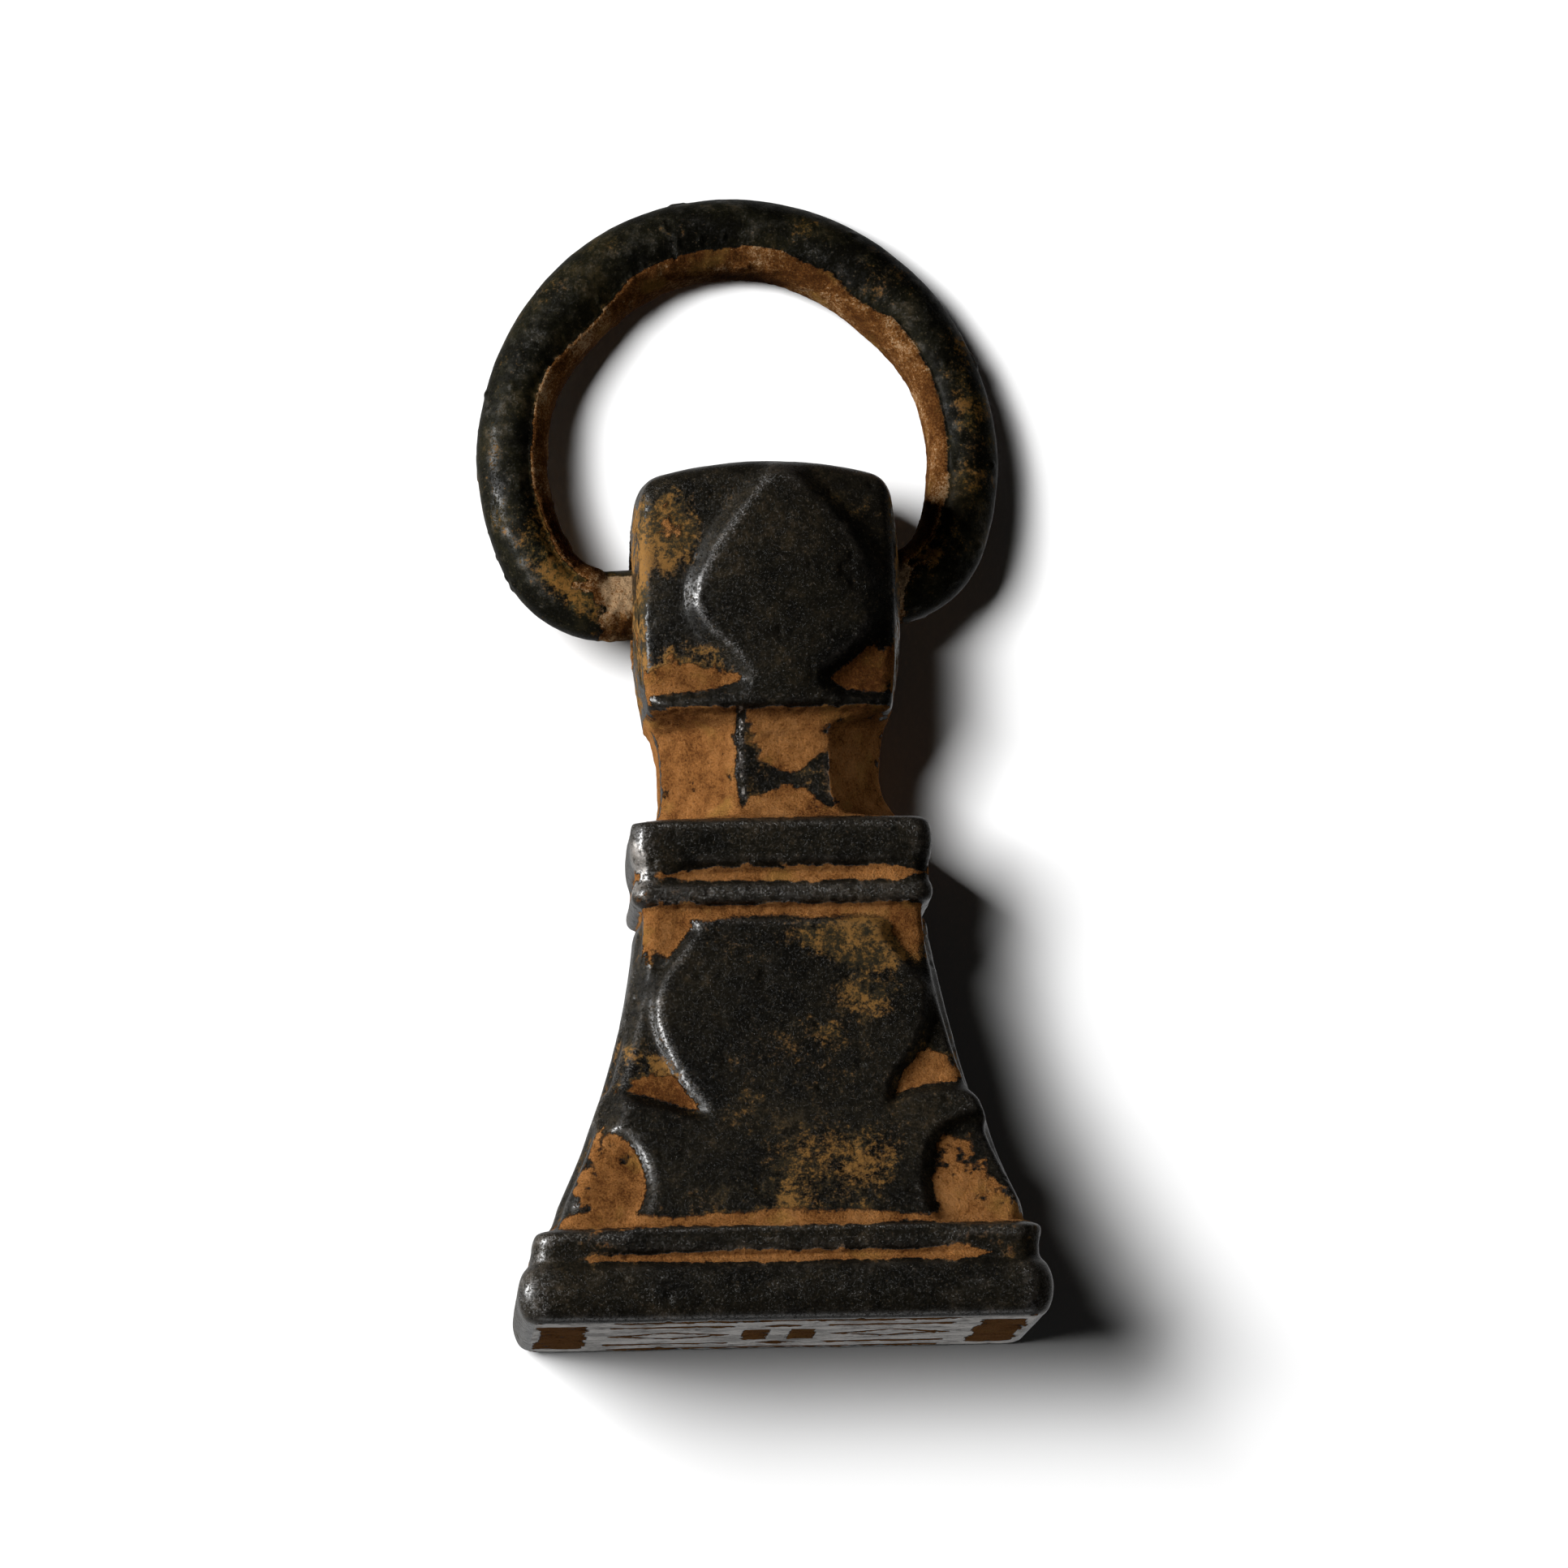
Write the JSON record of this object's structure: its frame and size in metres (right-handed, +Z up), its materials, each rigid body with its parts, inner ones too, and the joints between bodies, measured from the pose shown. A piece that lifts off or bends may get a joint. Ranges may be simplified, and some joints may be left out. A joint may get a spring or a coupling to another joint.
{
  "type": "stamp seal",
  "caption": "Cast bronze stamp seal: square engraved face, flared body with raised panels, collar, eight-sided neck and pierced head holding a swinging suspension ring.",
  "frame": {"origin": "on the surface the seal lies on, under the middle of the box that holds the seal and its ring", "axes": "+Z up from that surface, +Y from the engraved face towards the ring, +X to the right when the engraved face is nearest"},
  "size_m": [0.0208, 0.0446, 0.0198],
  "materials": {
    "body_patina": "cast bronze with black-brown patina, worn ridges and ochre earth in the recesses",
    "ring_patina": "cast bronze with dark green-brown patina and ochre earth on the inner wall"
  },
  "bodies": {
    "seal": {"seal_body": "body_patina"},
    "ring": {"suspension_ring": "ring_patina"}
  },
  "joints": [
    {"name": "ring_swing", "type": "hinge", "parent": "seal", "child": "ring", "pos_m": [0.00044, 0.0071, 0.00557], "axis": [1, 0, 0], "range_deg": [-130, 142]}
  ]
}
